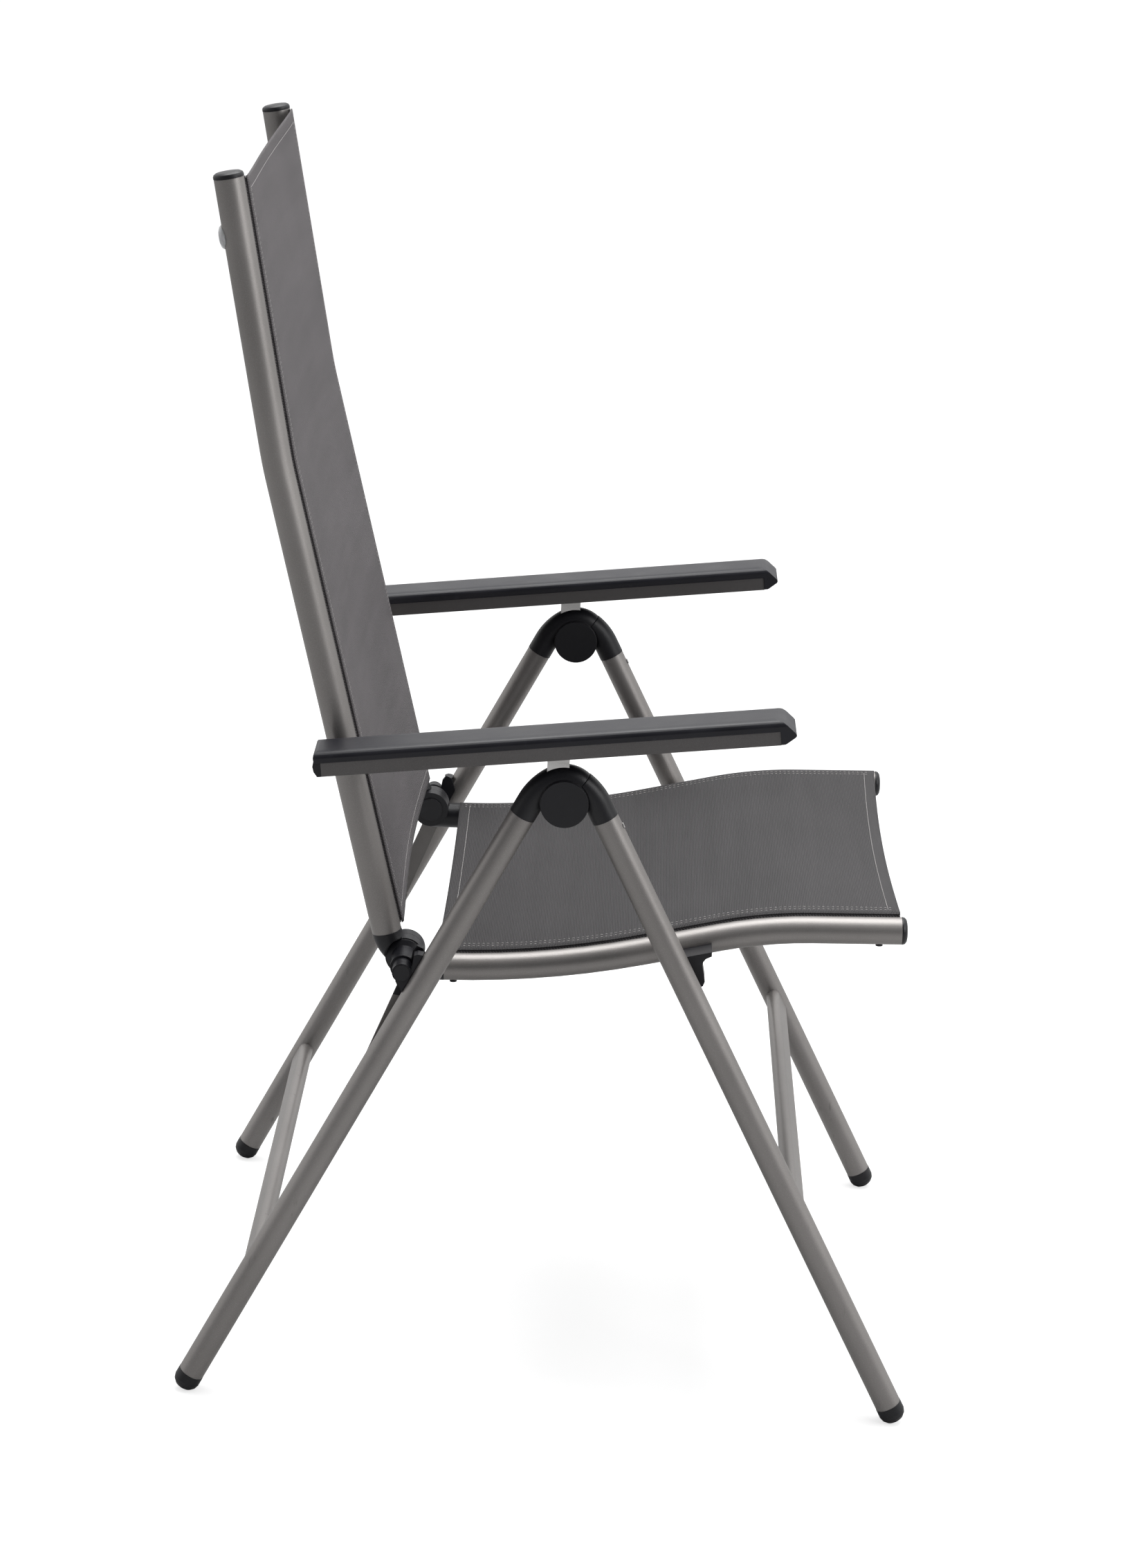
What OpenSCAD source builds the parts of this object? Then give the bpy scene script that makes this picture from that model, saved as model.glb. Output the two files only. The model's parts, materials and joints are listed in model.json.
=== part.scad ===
// Folding garden armchair with sling seat and back.
// Frame: +X forward, +Y to the sitter's left, +Z up. The origin is on the floor,
// midway between the legs and straight below the axis of the top hinges.

/* [Legs] */
// Height of the top hinge axis above the floor
hinge_z = 562; // [540:1:585]
// Angle of each leg from the vertical
leg_angle = 27.3; // [26:0.1:28.5]
// Distance from the top hinge axis to each leg's axis
leg_offset = 24.8; // [24:0.1:26]
// Outer diameter of the leg tubes
leg_d = 23; // [20:0.5:23]
// Distance from the middle of the chair to each leg's axis
leg_y = 262; // [258:1:280]
// Distance down the rear legs to their crossbar
rear_bar_t = 515; // [480:1:540]
// Distance down the front legs to their crossbar
front_bar_t = 425; // [400:1:440]

/* [Seat and back] */
// Outer diameter of the seat tubes
seat_d = 24; // [22:0.5:25]
// Outer diameter of the back tubes
back_d = 26; // [24:0.5:27]
// Distance from the middle of the chair to the seat and back tubes
frame_y = 215; // [213:1:216]
// Place of the seat and back hinge axis, front to back
recline_x = -135; // [-137:0.5:-135]
// Height of the seat and back hinge axis
recline_z = 399; // [397:0.5:401]
// Distance down the front legs to the seat's pivot
seat_pivot_t = 189; // [186:0.5:192]
// Length of the back tubes along their bend
back_length = 680; // [600:1:720]

/* [Armrests] */
// Width of the armrest pads
pad_w = 46; // [42:0.5:46]
// Slope of the armrests, rising to the front
arm_slope = 6.8; // [6.5:0.1:7]
// Length of the armrests ahead of their pivots
arm_front = 394.4; // [360:0.2:396]

/* [Hidden] */
$fn = 64;

// Colours
champagne = "#b9b4ad";
anthracite = "#2b2c30";
steel = "#c8c8c8";
clear_white = "#e8e9ea";
sling_grey = "#6a6664";

// Clearances
gap = 0.4;      // between bodies that pass each other
run = 0.05;     // radial, of a pin in its hole
fit = 0.02;     // between the pieces of one body

// Legs
wall = 1.5;
leg_r = leg_d / 2;
leg_s = sin(leg_angle);
leg_c = cos(leg_angle);
hinge_p = [0, hinge_z];
leg_top_t = 30;                                   // where a leg tube leaves its elbow
leg_floor_t = (hinge_z + leg_offset * leg_s) / leg_c;
foot_t = leg_floor_t - 15.7 / leg_c;              // where a foot starts
foot_r = leg_r + 0.2;
foot_profile = [[0, 0], [foot_r, 0], [foot_r, 8], [10.6, 11.5], [8, 14.5], [4.5, 16.3], [0, 17]];
bar_w = 14;                                       // thickness of the oval crossbars
bar_h = 28;
bar_wall = 1.3;

// Top hinge, measured outwards from the middle of the chair
hinge_half = 15;
hinge_in = leg_y - hinge_half;
hinge_out = leg_y + hinge_half;
lug_in = leg_y - 7.6;
lug_out = leg_y + 7.6;
arch_r = 11.8;                                    // of the elbows' round section
arch_bend_r = 20;                                 // about the hinge axis
arch_lead = 14;                                   // straight part next to a leg
arch_turn = 32.3878;                              // eases each leg into the bend
arch_turn_r = 50;
cheek_r = 21;
lug_r = 20.5;
hinge_pin_r = 5;
cover_t = 2;
cover_r = 20.6;
seam_angle = 48;

// Latch bracket on top of each top hinge
latch_x = [-16, 3];
latch_half = 6.5;
latch_top_r = 44;
latch_sheet = 1.6;
latch_foot_r = 30.8;

// Linkage: the link's lower pivot closes the loop in both end positions
fold_gap = 26.2;       // seat pivot to hinge axis, square to the rear leg, when folded
seat_pivot_p = leg_point(1, seat_pivot_t);
recline_p = [recline_x, recline_z];
recline_u = (recline_p - hinge_p) * [leg_s, leg_c];
recline_n = (recline_p - hinge_p) * [leg_c, -leg_s];
seat_pivot_r = norm(seat_pivot_p - hinge_p);
seat_reach = norm(seat_pivot_p - recline_p);
folded_u = -sqrt(seat_pivot_r ^ 2 - fold_gap ^ 2) - sqrt(seat_reach ^ 2 - (fold_gap - recline_n) ^ 2);
link_t = -(recline_u + folded_u) / 2;
link_p = leg_point(-1, link_t);
stud_r = 4;

// Layers of the seat and back hinge, outwards from the middle of the chair
inner_disc_in = frame_y - 17;
disc_split = frame_y - 5;
outer_disc_out = frame_y + 7;
link_collar_in = outer_disc_out + 0.4;
link_collar_out = link_collar_in + 3;
link_neck_out = leg_y - 6;
link_plate_in = leg_y - leg_r - 4.9;
link_plate_out = leg_y - leg_r - 0.5;
link_boss_out = leg_y + 1;
stop_in = leg_y - 9;
stop_out = leg_y + 2;
disc_r = 17;
sleeve_clear_r = 17.5;
recline_pin_r = 4.5;
recline_cap_r = 11.5;
collar_r = 16;
neck_r = 11.2;
boss_r = 8.4;
cap_inset_r = 7.4;
link_w = 14.5;
link_eye_r = 8.6;
link_knee = [3, -18];
link_head = [
    [-1, 1], [-6, -13], [-3, -19], [3, -22], [10, -19],
    [21.5, 5.3], [17.6, 18], [12.2, 20.4], [8.5, 15.5], [7, 6]
];
link_stop = [
    [0, -3], [7, 0], [8.7, 4.8], [10.3, 16.2], [13.6, 17.4], [18.6, 16.5],
    [17.5, 11], [4, -19.1], [0.7, -18.5], [-2.2, -11.6], [-4.5, -6.5]
];

// Seat
seat_r = seat_d / 2;
seat_in = seat_r - wall;
seat_start = [-100, 389.1];
seat_heading = 1;
seat_segs = [arc(12.5927, 800), straight(69), arc(-11.7066, 400), straight(78)];
seat_end = path_end(seat_start, seat_heading, seat_segs);
seat_end_heading = seat_heading + seat_segs[0][1] + seat_segs[2][1];
seat_cap_profile = [
    [0, 0], [seat_r + 0.1, 0], [seat_r + 0.1, 1.2], [seat_r - 0.6, 2.9], [seat_r - 2.5, 4.3], [6, 5], [0, 5.2]
];
bracket_outline = [
    [-12, 30], [-12, -6], [-7, -12], [0, -13], [15, -13], [18.5, -11], [20, -7],
    [17.2, 8], [17.8, 11], [20, 14], [25, 16.5], [25, 30]
];
seat_bracket_in = frame_y + seat_r + 1;
seat_bracket_out = leg_y - leg_r - 0.5;
spreader_r = 8;
seat_spreader_t = [30, 352];
sling_half = frame_y + 2;
seat_sling_t = 2.6;
seat_sling_lead = 7;                              // behind the tubes' ends
seat_sling_start = seat_start - seat_sling_lead * [cos(seat_heading), sin(seat_heading)];
seat_sling_segs = concat([straight(seat_sling_lead)], seat_segs);
seat_sling_span = [0, seat_sling_lead + 404];
screw_r = 3.2;

// Back
back_r = back_d / 2;
back_in = back_r - wall;
back_start = [-151.7, 420];
back_heading = 104.46;
back_segs = [straight(417), arc(-3.5535, 400), straight(back_length - 441.8)];
back_end = path_end(back_start, back_heading, back_segs);
back_end_heading = back_heading + back_segs[1][1];
back_cap_profile = [
    [0, 0], [back_r + 0.2, 0], [back_r + 0.2, 2], [back_r - 0.5, 3.6], [back_r - 2.5, 4.8], [6, 5.4], [0, 5.6]
];
back_elbow_bend_r = 33;
back_spreader_t = [60, 560];
back_sling_t = 1.8;
back_sling_span = [3, back_length - 0.6];
bumper_t = back_length - 50;
bumper_y = frame_y - 2.5;
bumper_profile = [[0, 10.5], [10.5, 10.5], [10.5, 13.6], [9, 15.4], [5.5, 16.6], [0, 17]];

// Armrests, measured from their pivots along the slope
arm_pivot_p = [-196, 587];
arm_back = 20;
arm_rail_back = arm_back - 7.1;
pad_half = pad_w / 2;
rail_below = 6.1;
rail_h = 12.2;
rail_half = pad_half - 1;
rail_wall = 1.5;
arm_nose = 13.7;
pad_h = 9.6;                                      // above the rail
arm_end = arm_front - arm_nose;                   // where the rail stops
pad_side = [
    [-arm_back + 1.6, 0], [-arm_back + 1.1, 4.6], [-arm_back + 1.7, 7.2], [-arm_back + 3.2, 8.9],
    [-arm_back + 5.6, pad_h], [arm_end - 5, pad_h], [arm_end - 0.5, 9.1], [arm_end + 3, 7.7],
    [arm_end + 6, 5.2], [arm_end + 12.2, -1.6], [arm_end + 13.4, -3.3], [arm_end + 13.5, -4.6],
    [arm_end + 12.6, -5.9], [arm_end + 4.4, -11.1], [arm_end + 2.8, -11.6], [arm_end + fit, -11.6],
    [arm_end + fit, 0]
];
pad_edge = [[0, 4.2], [0.4, 5.8], [1.2, 7.2], [2.5, 8.3], [4.2, 9.0], [6.5, 9.4], [9.5, 9.55]];
cap_side = [
    [0, 0], [-6.4, 0], [-7.1, -3], [-6.4, -7.6], [-3.8, -rail_h], [0, -rail_h]
];
rack_below = 3;
rack_tooth = 22;
rack_w = 6;
arm_in = leg_y - pad_half;
spacer_r = 8;
spacer_in = frame_y + back_r + gap;
spacer_out = arm_in - 2.4;
arm_bolt_r = 3;
arm_bolt_head_r = 4;

// ---- Places and directions -------------------------------------------------

// A point in side view, t down a leg's axis; way is 1 for front and -1 for rear
function leg_point(way, t) = [
    way * (leg_c * leg_offset + leg_s * t),
    hinge_z + leg_s * leg_offset - leg_c * t
];

// Segments of a bent tube, as [length, turn, bend radius]
function straight(l) = [l, 0, 0];
function arc(turn, r) = [r * abs(turn) * PI / 180, turn, r];

// The end of one segment that starts at p with a heading
function segment_end(p, heading, seg) =
    seg[1] == 0
    ? p + seg[0] * [cos(heading), sin(heading)]
    : p + sign(seg[1]) * seg[2]
        * [sin(heading + seg[1]) - sin(heading), cos(heading) - cos(heading + seg[1])];

function path_end(p, heading, segs, i = 0) =
    i == len(segs)
    ? p
    : path_end(segment_end(p, heading, segs[i]), heading + segs[i][1], segs, i + 1);

// The point and heading, as [point, heading], t along a bent path
function path_at(p, heading, segs, t, i = 0) =
    t <= segs[i][0] || i == len(segs) - 1
    ? let (part = [t, segs[i][1] * t / segs[i][0], segs[i][2]])
      [segment_end(p, heading, part), heading + part[1]]
    : path_at(segment_end(p, heading, segs[i]), heading + segs[i][1], segs, t - segs[i][0], i + 1);

// Points of a path offset sideways, for thin sheets that follow it
function offset_points(p, heading, segs, span, off, n) = [
    for (i = [0:n])
        let (at = path_at(p, heading, segs, span[0] + (span[1] - span[0]) * i / n))
        at[0] + off * [-sin(at[1]), cos(at[1])]
];

// ---- Tools -------------------------------------------------------------------

// Right-hand parts are drawn at -Y; the left-hand ones are their mirror images
module left() {
    mirror([0, 1, 0]) children();
}

module both() {
    children();
    left() children();
}

// A side-view outline, given thickness from one distance outwards to another
module plate(from, to) {
    translate([0, -from, 0]) rotate([90, 0, 0]) linear_extrude(to - from) children();
}

module disc(p, r, from, to) {
    translate([p[0], -from, p[1]]) rotate([90, 0, 0]) cylinder(r = r, h = to - from);
}

module cone(p, r_from, r_to, from, to) {
    translate([p[0], -from, p[1]]) rotate([90, 0, 0]) cylinder(r1 = r_from, r2 = r_to, h = to - from);
}

// Children stand with +Z pointing down a leg's axis, from t
module on_leg(way, t) {
    p = leg_point(way, t);
    translate([p[0], -leg_y, p[1]]) rotate([0, way * (180 - leg_angle), 0]) children();
}

// Children stand with +Z along a heading in side view
module heading_at(p, heading, y) {
    translate([p[0], -y, p[1]]) rotate([0, 90 - heading, 0]) children();
}

module ring(r_out, r_in) {
    difference() {
        circle(r = r_out);
        if (r_in > 0) circle(r = r_in);
    }
}

// A round bar along straight and arc segments, from the origin along +Z. Each segment
// stands in the frame of the one before it, so that they meet exactly.
module bar_path(segs, r_bar, i = 0) {
    turn = segs[i][1];
    bend = sign(turn) * segs[i][2];
    if (turn == 0) {
        cylinder(r = r_bar, h = segs[i][0]);
    } else {
        translate([-bend, 0, 0]) rotate([90, 0, 0]) rotate([0, 0, turn > 0 ? 0 : 180])
            rotate_extrude(angle = turn, $fn = 180) translate([abs(bend), 0]) circle(r = r_bar);
    }
    if (i < len(segs) - 1) {
        if (turn == 0) {
            translate([0, 0, segs[i][0]]) bar_path(segs, r_bar, i + 1);
        } else {
            translate([-bend, 0, 0]) rotate([0, -turn, 0]) translate([bend, 0, 0])
                bar_path(segs, r_bar, i + 1);
        }
    }
}

module bent_tube(p, heading, segs, y, r_out, r_in) {
    heading_at(p, heading, y) difference() {
        bar_path(segs, r_out);
        if (r_in > 0) bar_path(segs, r_in);
    }
}

// A straight bar of width w, in side view
module bar_outline(a, b, w) {
    d = b - a;
    translate(a) rotate(atan2(d[1], d[0])) translate([0, -w / 2]) square([norm(d), w]);
}

module floor_cut() {
    intersection() {
        children();
        translate([-600, -600, 0]) cube([1200, 1200, 1200]);
    }
}

// ---- Leg frames --------------------------------------------------------------

module leg_bore(way, t) {
    disc(leg_point(way, t), stud_r, leg_y - leg_r - 1, leg_y);
}

module leg_tube(way, stud_t) {
    color(champagne) difference() {
        on_leg(way, leg_top_t) linear_extrude(foot_t - leg_top_t) ring(leg_r, leg_r - wall);
        leg_bore(way, stud_t);
    }
}

module foot(way) {
    color(anthracite) floor_cut() union() {
        on_leg(way, foot_t) rotate_extrude() polygon(foot_profile);
        on_leg(way, foot_t - 25) cylinder(r = leg_r - wall - fit, h = 26);
    }
}

module crossbar(way, t) {
    p = leg_point(way, t);
    tilt = way * leg_angle;
    color(champagne) difference() {
        translate([p[0], leg_y, p[1]]) rotate([90, 0, 0]) rotate([0, 0, tilt])
            linear_extrude(2 * leg_y) difference() {
                oval(bar_w / 2, bar_h);
                oval(bar_w / 2 - bar_wall, bar_h - 2 * bar_wall);
            }
        both() on_leg(way, leg_top_t) cylinder(r = leg_r, h = foot_t - leg_top_t);
    }
}

module oval(r, h) {
    translate([0, h / 2 - r]) circle(r = r);
    translate([0, r - h / 2]) circle(r = r);
    square([2 * r, h - 2 * r], center = true);
}

// The round arch of an elbow, up from its leg and over the hinge axis
module elbow_arch(way) {
    on_leg(way, leg_top_t) rotate([180, 0, 0]) bar_path([
        straight(arch_lead), arc(-way * arch_turn, arch_turn_r), arc(-way * 90, arch_bend_r)
    ], arch_r);
}

module elbow_plug(way) {
    on_leg(way, leg_top_t - 3) cylinder(r = leg_r - wall - fit, h = 30);
}

module sector(from, to, r) {
    steps = 6;
    translate(hinge_p) polygon(concat([[0, 0]], [
        for (i = [0:steps]) r * [cos(from + (to - from) * i / steps), sin(from + (to - from) * i / steps)]
    ]));
}

module rear_elbow() {
    color(anthracite) difference() {
        union() {
            intersection() {
                elbow_arch(-1);
                plate(hinge_in, hinge_out) sector(seam_angle + 1, 236, 3 * cheek_r);
            }
            disc(hinge_p, cheek_r, hinge_in + cover_t, hinge_out - cover_t);
            elbow_plug(-1);
        }
        disc(hinge_p, cheek_r + gap, lug_in - gap, lug_out + gap);
        disc(hinge_p, hinge_pin_r, hinge_in, hinge_out);
    }
}

module front_elbow() {
    color(anthracite) difference() {
        union() {
            intersection() {
                elbow_arch(1);
                plate(hinge_in, hinge_out) sector(-60, seam_angle, 3 * cheek_r);
            }
            disc(hinge_p, lug_r, lug_in, lug_out);
            elbow_plug(1);
        }
        disc(hinge_p, cheek_r + gap, hinge_in - 1, lug_in);
        disc(hinge_p, cheek_r + gap, lug_out, hinge_out + 1);
        disc(hinge_p, hinge_pin_r + run, hinge_in, hinge_out);
    }
}

module hinge_pin() {
    color(steel) disc(hinge_p, hinge_pin_r, hinge_in + cover_t, hinge_out - cover_t);
}

module hinge_cover_pair() {
    color(anthracite) {
        disc(hinge_p, cover_r, hinge_in, hinge_in + cover_t);
        disc(hinge_p, cover_r, hinge_out - cover_t, hinge_out);
    }
}

// A folded sheet bracket, open to front and back, standing on the rear elbow
module latch() {
    color(steel) difference() {
        plate(leg_y - latch_half, leg_y + latch_half)
            translate(hinge_p) translate([latch_x[0], 0])
                square([latch_x[1] - latch_x[0], latch_top_r]);
        plate(leg_y - latch_half + latch_sheet, leg_y + latch_half - latch_sheet)
            translate(hinge_p) translate([latch_x[0] - 1, 0])
                square([latch_x[1] - latch_x[0] + 2, latch_top_r - latch_sheet]);
        disc(hinge_p, latch_foot_r, hinge_in, hinge_out);
    }
}

module link_stud() {
    color(steel) disc(link_p, stud_r, link_plate_in, leg_y - leg_r + 4);
}

module seat_stud() {
    color(steel) disc(seat_pivot_p, stud_r, leg_y - leg_r + 0.2, leg_y - leg_r + 4);
}

module leg_rivet(way) {
    color(steel) on_leg(way, 42) rotate([0, -90 * way, 0])
        translate([0, 0, leg_r + fit]) cylinder(r = 2.6, h = 0.7);
}

// ---- Swing links -------------------------------------------------------------

module link() {
    knee = recline_p + link_knee;
    color(anthracite) difference() {
        union() {
            plate(link_plate_in, link_plate_out) {
                translate(link_p) circle(r = link_eye_r);
                bar_outline(link_p, knee, link_w);
                translate(recline_p) circle(r = boss_r + 2.5);
                translate(recline_p) polygon(link_head);
            }
            cone(recline_p, collar_r, neck_r, link_collar_in, link_collar_out);
            cone(recline_p, neck_r, boss_r, link_collar_out, link_neck_out);
            disc(recline_p, boss_r, link_neck_out, link_boss_out + 1.6);
            plate(stop_in, stop_out) translate(recline_p) polygon(link_stop);
        }
        disc(link_p, stud_r + run, link_plate_in - 1, link_plate_out + 1);
        disc(recline_p, cap_inset_r + fit, link_boss_out, link_boss_out + 3);
        on_leg(-1, leg_top_t) cylinder(r = leg_r + gap, h = link_t);
    }
}

module link_cap() {
    color(anthracite) disc(recline_p, cap_inset_r, link_boss_out + fit, link_boss_out + 2);
}

// ---- Seat ----------------------------------------------------------------------

module seat_tube() {
    color(champagne) bent_tube(seat_start, seat_heading, seat_segs, frame_y, seat_r, seat_in);
}

module seat_outer() {
    bent_tube(seat_start, seat_heading, seat_segs, frame_y, seat_r, 0);
}

module seat_cap() {
    color(anthracite) heading_at(seat_end, seat_end_heading, frame_y)
        rotate_extrude() polygon(seat_cap_profile);
}

// One half of the seat and back hinge: a disc in its own layer, and an arm of full width,
// the children, kept clear of the other half
module hinge_half_elbow(from, to) {
    difference() {
        union() {
            disc(recline_p, disc_r, from, to);
            difference() {
                children();
                plate(inner_disc_in - 20, outer_disc_out + 20) translate(recline_p) circle(r = sleeve_clear_r);
            }
            intersection() {
                children();
                plate(from, to) translate(recline_p) circle(r = sleeve_clear_r + 1);
            }
        }
        disc(recline_p, recline_pin_r + run, inner_disc_in - 5, outer_disc_out + 5);
    }
}

module seat_elbow() {
    color(anthracite) hinge_half_elbow(inner_disc_in, disc_split - gap / 2)
        heading_at(seat_start, seat_heading + 180, frame_y) {
            cylinder(r = seat_r + 0.1, h = norm(seat_start - recline_p) - 2);
            translate([0, 0, -12]) cylinder(r = seat_in - 0.15, h = 13);
        }
}

module seat_bracket() {
    color(anthracite) difference() {
        union() {
            plate(seat_bracket_in, seat_bracket_out) translate(seat_pivot_p) polygon(bracket_outline);
            plate(frame_y, seat_bracket_in) translate(seat_pivot_p) intersection() {
                polygon(bracket_outline);
                translate([-30, 5]) square([60, 30]);
            }
        }
        seat_outer();
        plate(frame_y - 1, seat_bracket_out + 1)
            polygon(concat(
                offset_points(seat_start, seat_heading, seat_segs, [180, 260], 0, 8),
                [[200, 600], [60, 600]]
            ));
    }
}

module seat_screw(t) {
    at = path_at(seat_start, seat_heading, seat_segs, t);
    color(anthracite) heading_at(at[0], at[1] - 90, frame_y)
        translate([0, 0, seat_r + fit]) difference() {
            cylinder(r = screw_r, h = 1.6);
            translate([0, 0, 0.8]) cylinder(r = 1.4, h = 1, $fn = 6);
        }
}

module spreader(p, heading, segs, t, tube_r) {
    at = path_at(p, heading, segs, t);
    difference() {
        translate([at[0][0], frame_y, at[0][1]]) rotate([90, 0, 0])
            linear_extrude(2 * frame_y) ring(spreader_r, spreader_r - wall);
        both() bent_tube(p, heading, segs, frame_y, tube_r, 0);
    }
}

// A stretched sheet that follows a tube's path at a distance off its axis
module sling(p, heading, segs, span, off, thick, n) {
    under = offset_points(p, heading, segs, span, off, n);
    over = offset_points(p, heading, segs, span, off + thick, n);
    plate(-sling_half, sling_half) polygon(concat(under, [for (i = [n:-1:0]) over[i]]));
}

module seat_sling() {
    color(sling_grey)
        sling(seat_sling_start, seat_heading, seat_sling_segs, seat_sling_span, seat_r + 0.2, seat_sling_t, 40);
}

module seat_spreaders() {
    color(champagne) for (t = seat_spreader_t) spreader(seat_start, seat_heading, seat_segs, t, seat_r);
}

module back_hinge_pin() {
    color(anthracite) {
        disc(recline_p, recline_pin_r, inner_disc_in - 1, outer_disc_out);
        disc(recline_p, recline_cap_r, inner_disc_in - 1.6, inner_disc_in - gap);
    }
}

// ---- Back ----------------------------------------------------------------------

module back_tube() {
    color(champagne) bent_tube(back_start, back_heading, back_segs, frame_y, back_r, back_in);
}

module back_cap() {
    color(anthracite) heading_at(back_end, back_end_heading, frame_y)
        rotate_extrude() polygon(back_cap_profile);
}

module back_elbow() {
    color(anthracite) hinge_half_elbow(disc_split + gap / 2, outer_disc_out)
        heading_at(back_start, back_heading + 180, frame_y) {
            bar_path([arc(48, back_elbow_bend_r)], back_r + 0.1);
            translate([0, 0, -20]) cylinder(r = back_in - fit, h = 21);
        }
}

module back_spreaders() {
    color(champagne) for (t = back_spreader_t) spreader(back_start, back_heading, back_segs, t, back_r);
}

module back_bumper() {
    at = path_at(back_start, back_heading, back_segs, bumper_t);
    color(clear_white) difference() {
        heading_at(at[0], at[1] + 90, bumper_y) rotate_extrude() polygon(bumper_profile);
        bent_tube(back_start, back_heading, back_segs, frame_y, back_r + fit, 0);
    }
}

module back_sling() {
    color(sling_grey)
        sling(back_start, back_heading, back_segs, back_sling_span, -back_r - 0.2, -back_sling_t, 24);
}

// ---- Armrests --------------------------------------------------------------------

// Children are drawn level, with the armrest's pivot at the origin
module on_arm() {
    translate([arm_pivot_p[0], 0, arm_pivot_p[1]]) rotate([0, -arm_slope, 0]) children();
}

module arm_outline(from, to, low, high) {
    translate([from, low]) square([to - from, high - low]);
}

module arm_rail() {
    color(champagne) on_arm() difference() {
        plate(leg_y - rail_half, leg_y + rail_half)
            arm_outline(-arm_rail_back, arm_end, -rail_below, rail_h - rail_below);
        plate(leg_y - rail_half + rail_wall, leg_y + rail_half - rail_wall)
            arm_outline(-arm_back, arm_front, -rail_below - 1, rail_h - rail_below - rail_wall);
        plate(0, leg_y) circle(r = arm_bolt_r + run);
    }
}

// The pad's side view runs its full width, and its cross-section rounds the long edges
module arm_pad() {
    low = rail_h - rail_below + fit;
    section = concat(
        [[-pad_half, -rail_h - 5]], [for (e = pad_edge) [e[0] - pad_half, e[1]]],
        [for (i = [len(pad_edge) - 1:-1:0]) [pad_half - pad_edge[i][0], pad_edge[i][1]]],
        [[pad_half, -rail_h - 5]]
    );
    color(anthracite) on_arm() intersection() {
        plate(leg_y - pad_half, leg_y + pad_half) translate([0, low]) polygon(pad_side);
        translate([-arm_back - 1, -leg_y, low]) rotate([90, 0, 90])
            linear_extrude(arm_back + arm_front + 2) polygon(section);
    }
}

// A notched strip inside the top of the rail, for the latch bracket
module arm_rack() {
    low = rail_h - rail_below - rail_wall;
    color(anthracite) on_arm() difference() {
        plate(leg_y - rack_w, leg_y + rack_w) arm_outline(150, arm_end - 22, low - rack_below, low - fit);
        for (x = [160:rack_tooth:arm_end - 44])
            plate(leg_y - rack_w - 1, leg_y + rack_w + 1) translate([x, low - rack_below]) circle(r = 2);
    }
}

module arm_cap() {
    top = rail_h - rail_below;
    color(anthracite) on_arm() {
        plate(leg_y - rail_half, leg_y + rail_half)
            translate([-arm_rail_back - fit, top - fit]) polygon(cap_side);
        plate(leg_y - rail_half + rail_wall + fit, leg_y + rail_half - rail_wall - fit)
            arm_outline(-arm_rail_back - 2, -arm_rail_back + 6, -rail_below + 0.5, top - rail_wall - fit);
    }
}

module arm_spacer() {
    color(anthracite) difference() {
        disc(arm_pivot_p, spacer_r, spacer_in, spacer_out);
        disc(arm_pivot_p, arm_bolt_r + run, spacer_in - 1, spacer_out + 1);
    }
}

module arm_bolt() {
    color(steel) {
        disc(arm_pivot_p, arm_bolt_r, spacer_in + gap, leg_y - rail_half + rail_wall + 0.4);
        disc(arm_pivot_p, arm_bolt_head_r, leg_y - rail_half + rail_wall + 0.4, leg_y - rail_half + rail_wall + 3);
        disc(arm_pivot_p, arm_bolt_head_r, spacer_out + 0.3, leg_y - rail_half - 0.3);
    }
}

// ---- Nodes -----------------------------------------------------------------------

left() leg_tube(-1, link_t);  // rear_leg_left
leg_tube(-1, link_t);  // rear_leg_right
crossbar(-1, rear_bar_t);  // rear_crossbar
left() foot(-1);  // rear_foot_left
foot(-1);  // rear_foot_right
left() rear_elbow();  // rear_elbow_left
rear_elbow();  // rear_elbow_right
both() hinge_pin();  // top_hinge_pins
both() hinge_cover_pair();  // hinge_covers
left() latch();  // latch_left
latch();  // latch_right
both() link_stud();  // link_studs
left() leg_tube(1, seat_pivot_t);  // front_leg_left
leg_tube(1, seat_pivot_t);  // front_leg_right
crossbar(1, front_bar_t);  // front_crossbar
left() foot(1);  // front_foot_left
foot(1);  // front_foot_right
left() front_elbow();  // front_elbow_left
front_elbow();  // front_elbow_right
both() seat_stud();  // seat_studs
both() leg_rivet(1);  // leg_rivets
left() link();  // link_left
link();  // link_right
both() link_cap();  // link_caps
left() seat_tube();  // seat_tube_left
seat_tube();  // seat_tube_right
left() seat_cap();  // seat_cap_left
seat_cap();  // seat_cap_right
left() seat_elbow();  // seat_elbow_left
seat_elbow();  // seat_elbow_right
left() seat_bracket();  // seat_bracket_left
seat_bracket();  // seat_bracket_right
seat_spreaders();
both() for (t = [8, 385]) seat_screw(t);  // seat_screws
seat_sling();
both() back_hinge_pin();  // back_hinge_pins
left() back_tube();  // back_tube_left
back_tube();  // back_tube_right
left() back_cap();  // back_cap_left
back_cap();  // back_cap_right
left() back_elbow();  // back_elbow_left
back_elbow();  // back_elbow_right
back_spreaders();
both() back_bumper();  // back_bumpers
back_sling();
both() arm_spacer();  // arm_spacers
both() arm_bolt();  // arm_bolts
left() arm_pad();  // arm_pad_left
arm_pad();  // arm_pad_right
left() arm_rail();  // arm_rail_left
arm_rail();  // arm_rail_right
left() arm_rack();  // arm_rack_left
arm_rack();  // arm_rack_right
left() arm_cap();  // arm_cap_left
arm_cap();  // arm_cap_right
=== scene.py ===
"""Looks for a folding garden armchair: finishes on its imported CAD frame, and sling fabric built over it.

Everything is in metres, in the frame of the CAD: +X to the front of the chair, +Y to the sitter's left.
"""

import json
import math

import bpy
from mathutils import Matrix, Vector


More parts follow.
